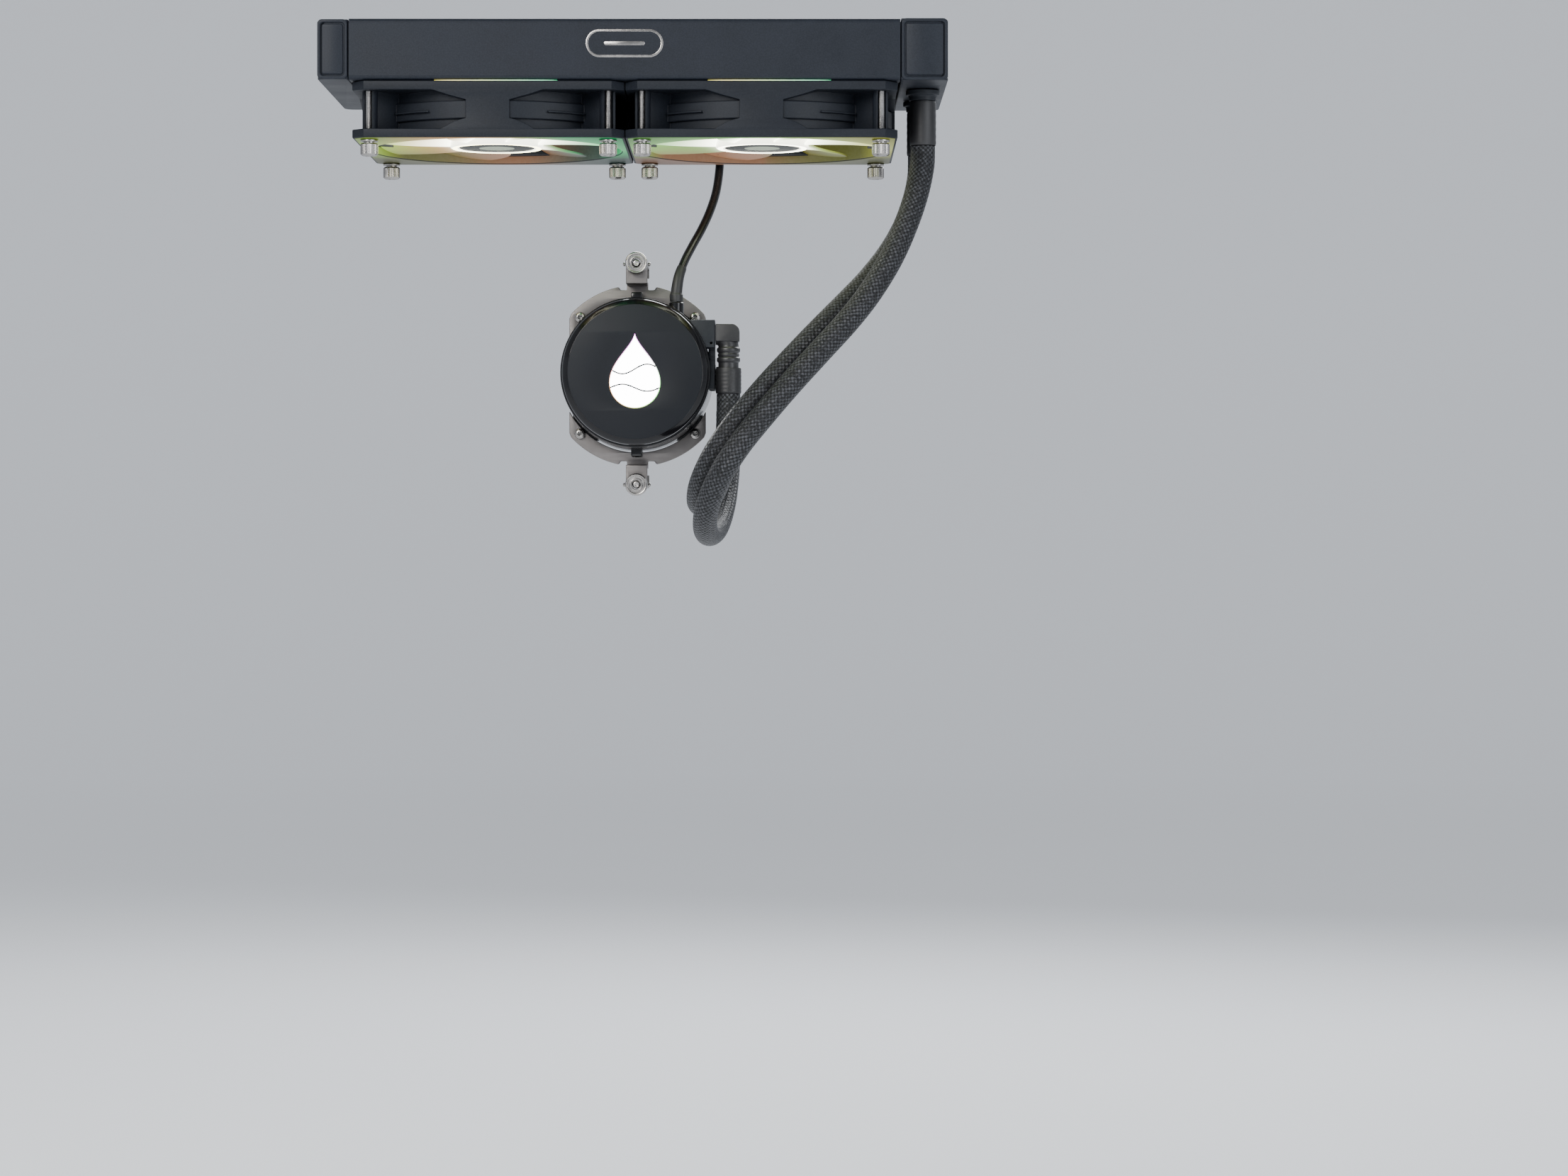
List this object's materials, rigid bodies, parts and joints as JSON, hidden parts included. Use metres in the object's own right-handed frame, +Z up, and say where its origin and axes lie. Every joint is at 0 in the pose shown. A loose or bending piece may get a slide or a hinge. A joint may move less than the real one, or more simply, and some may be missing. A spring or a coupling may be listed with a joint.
{
  "type": "liquid cooling radiator",
  "caption": "Sealed liquid cooler: slim radiator with round fans hung under it, braided hoses, and a round pump head with a lit drop, arc brackets and knurled thumb nuts.",
  "frame": {"origin": "middle of the radiator's top face, where it meets the case roof", "axes": "+X along the radiator to its hose end, +Y from the front of the pump head to its cold plate, +Z up to the case roof"},
  "size_m": [0.277, 0.137, 0.2304],
  "materials": {
    "radiator_black": "satin powder coat",
    "fan_plastic": "fine moulded grain",
    "blade_frosted": "frosted translucent, lit from the hub",
    "nickel": "nickel plated, knurled",
    "steel": "satin nickel steel",
    "shaft_steel": "ground steel",
    "bearing_brass": "sintered",
    "copper": "machined copper",
    "winding": "enamelled copper wire on laminations",
    "board": "circuit board",
    "cap_black": "fine matte",
    "housing_black": "gloss",
    "lens": "lit diffuser",
    "port_plastic": "satin moulded",
    "sleeve_rubber": "heat-shrink tube",
    "braid": "braided polymer sleeve",
    "cable_jacket": "gloss jacket",
    "impeller_white": "moulded",
    "ceramic": "ground ceramic",
    "seal_rubber": "moulded"
  },
  "bodies": {
    "radiator_and_frames": {"bracket_lower": "steel", "bracket_screw_lower_left": "nickel", "bracket_screw_lower_right": "nickel", "bracket_screw_upper_left": "nickel", "bracket_screw_upper_right": "nickel", "bracket_upper": "steel", "cold_plate": "copper", "cold_plate_seal": "seal_rubber", "elbow_lower": "port_plastic", "elbow_upper": "port_plastic", "end_tank_ports": "radiator_black", "end_tank_return": "radiator_black", "fill_plug": "radiator_black", "hose_front": "braid", "hose_rear": "braid", "hose_sleeve_pump_lower": "sleeve_rubber", "hose_sleeve_pump_upper": "sleeve_rubber", "hose_sleeve_top_front": "sleeve_rubber", "hose_sleeve_top_rear": "sleeve_rubber", "impeller_shaft": "ceramic", "jet_plate": "steel", "led_board": "board", "left_fan_bearing": "bearing_brass", "left_fan_board": "board", "left_fan_frame": "fan_plastic", "left_fan_screw_front_a": "nickel", "left_fan_screw_front_b": "nickel", "left_fan_screw_rear_a": "nickel", "left_fan_screw_rear_b": "nickel", "left_fan_stator": "winding", "port_block": "port_plastic", "port_nozzle_front": "radiator_black", "port_nozzle_rear": "radiator_black", "pump_cable": "cable_jacket", "pump_cable_hank": "cable_jacket", "pump_cable_plug": "port_plastic", "pump_cap": "cap_black", "pump_housing": "housing_black", "pump_lens": "lens", "pump_stator": "winding", "radiator_core": "radiator_black", "right_fan_bearing": "bearing_brass", "right_fan_board": "board", "right_fan_frame": "fan_plastic", "right_fan_screw_front_a": "nickel", "right_fan_screw_front_b": "nickel", "right_fan_screw_rear_a": "nickel", "right_fan_screw_rear_b": "nickel", "right_fan_stator": "winding", "side_channel_front": "radiator_black", "side_channel_rear": "radiator_black"},
    "left_rotor": {"left_fan_rotor": "blade_frosted", "left_fan_shaft": "shaft_steel"},
    "right_rotor": {"right_fan_rotor": "blade_frosted", "right_fan_shaft": "shaft_steel"},
    "nut_upper": {"thumb_nut_upper": "nickel"},
    "hook_upper": {"hook_upper": "steel"},
    "nut_lower": {"thumb_nut_lower": "nickel"},
    "hook_lower": {"hook_lower": "steel"},
    "impeller": {"impeller": "impeller_white"}
  },
  "joints": [
    {"name": "left_fan_spin", "type": "hinge", "parent": "radiator_and_frames", "child": "left_rotor", "pos_m": [-0.06, 0, -0.04], "axis": [0, 0, 1], "continuous": true},
    {"name": "right_fan_spin", "type": "hinge", "parent": "radiator_and_frames", "child": "right_rotor", "pos_m": [0.06, 0, -0.04], "axis": [0, 0, 1], "continuous": true},
    {"name": "impeller_spin", "type": "hinge", "parent": "radiator_and_frames", "child": "impeller", "pos_m": [0.0015, 0.055, -0.1505], "axis": [0, 1, 0], "continuous": true},
    {"name": "thumb_nut_upper", "type": "hinge", "parent": "radiator_and_frames", "child": "nut_upper", "pos_m": [0.0015, 0.046, -0.0992], "axis": [0, -1, 0], "range_deg": [0, 2880]},
    {"name": "hook_upper_slide", "type": "slide", "parent": "radiator_and_frames", "child": "hook_upper", "axis": [0, 1, 0], "range_m": [0, 0.004]},
    {"name": "thumb_nut_lower", "type": "hinge", "parent": "radiator_and_frames", "child": "nut_lower", "pos_m": [0.0015, 0.046, -0.2018], "axis": [0, -1, 0], "range_deg": [0, 2880]},
    {"name": "hook_lower_slide", "type": "slide", "parent": "radiator_and_frames", "child": "hook_lower", "axis": [0, 1, 0], "range_m": [0, 0.004]}
  ],
  "couplings": [
    {"joint": "thumb_nut_upper", "follows": "hook_upper_slide", "rad_per_m": 12566},
    {"joint": "thumb_nut_lower", "follows": "hook_lower_slide", "rad_per_m": 12566}
  ]
}
